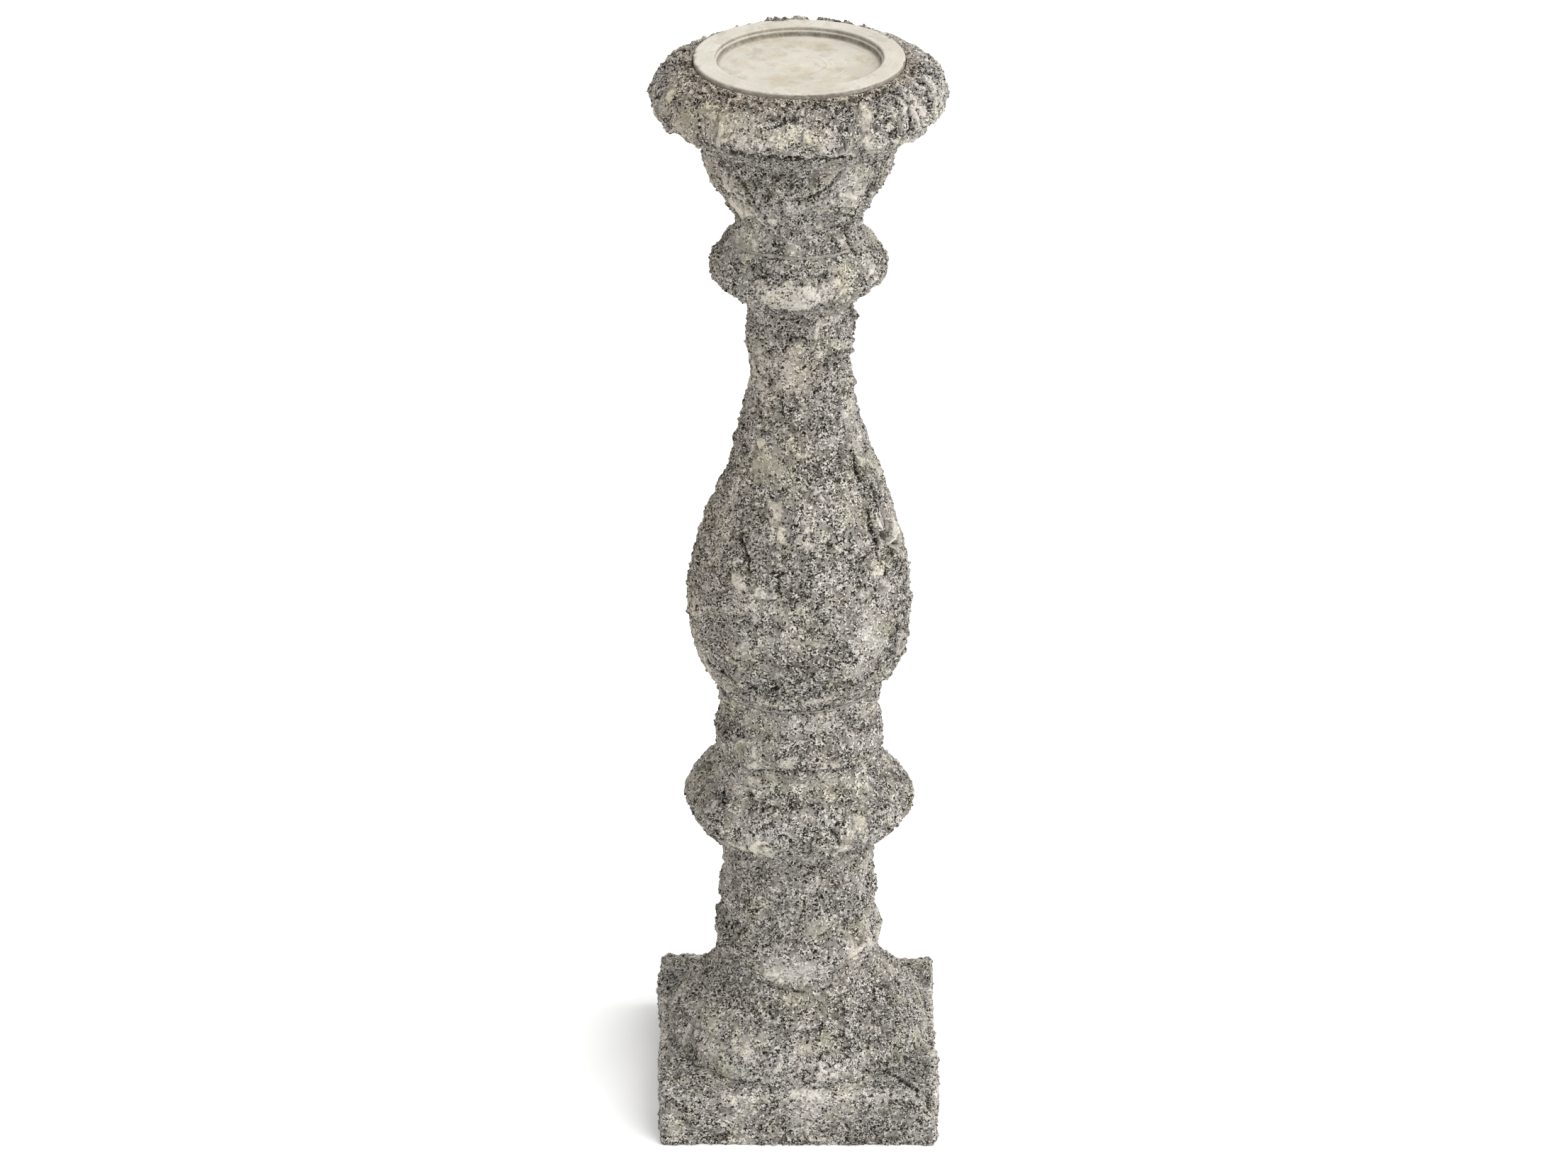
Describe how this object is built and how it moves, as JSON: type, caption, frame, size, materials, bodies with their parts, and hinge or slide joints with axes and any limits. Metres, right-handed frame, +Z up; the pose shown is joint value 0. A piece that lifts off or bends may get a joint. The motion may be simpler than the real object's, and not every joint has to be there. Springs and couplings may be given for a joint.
{
  "type": "stone candle stand",
  "caption": "Weathered turned-stone baluster stand on a square plinth, with a heavy rolled rim and a loose pale dish recessed for a pillar candle.",
  "frame": {"origin": "centre of the plinth's underside, on the floor", "axes": "+Z up the turned axis, X and Y square to the plinth's sides, -Y towards the front"},
  "size_m": [0.19, 0.19, 0.75],
  "materials": {
    "weathered_stone": "rough, pitted and lichened",
    "pale_dish": "fine and smooth, lightly soiled",
    "lime_mortar": "matt and sandy",
    "galvanised_steel": "dull zinc"
  },
  "bodies": {
    "stand": {"plinth_block": "weathered_stone", "base_moulding": "weathered_stone", "lower_drum": "weathered_stone", "large_torus": "weathered_stone", "annulet": "weathered_stone", "vase_shaft": "weathered_stone", "upper_collar": "weathered_stone", "cup_bowl": "weathered_stone", "rim_ring": "weathered_stone", "mortar_bed_1": "lime_mortar", "mortar_bed_2": "lime_mortar", "mortar_bed_3": "lime_mortar", "mortar_bed_4": "lime_mortar", "mortar_bed_5": "lime_mortar", "mortar_bed_6": "lime_mortar", "mortar_bed_7": "lime_mortar", "mortar_bed_8": "lime_mortar", "tie_rod": "galvanised_steel", "bottom_washer": "galvanised_steel", "bottom_nut": "galvanised_steel", "top_washer": "galvanised_steel", "top_nut": "galvanised_steel"},
    "dish": {"candle_dish": "pale_dish"}
  },
  "joints": [
    {"name": "dish_lift", "type": "slide", "parent": "stand", "child": "dish", "axis": [0, 0, 1], "range_m": [0, 0.06]}
  ]
}
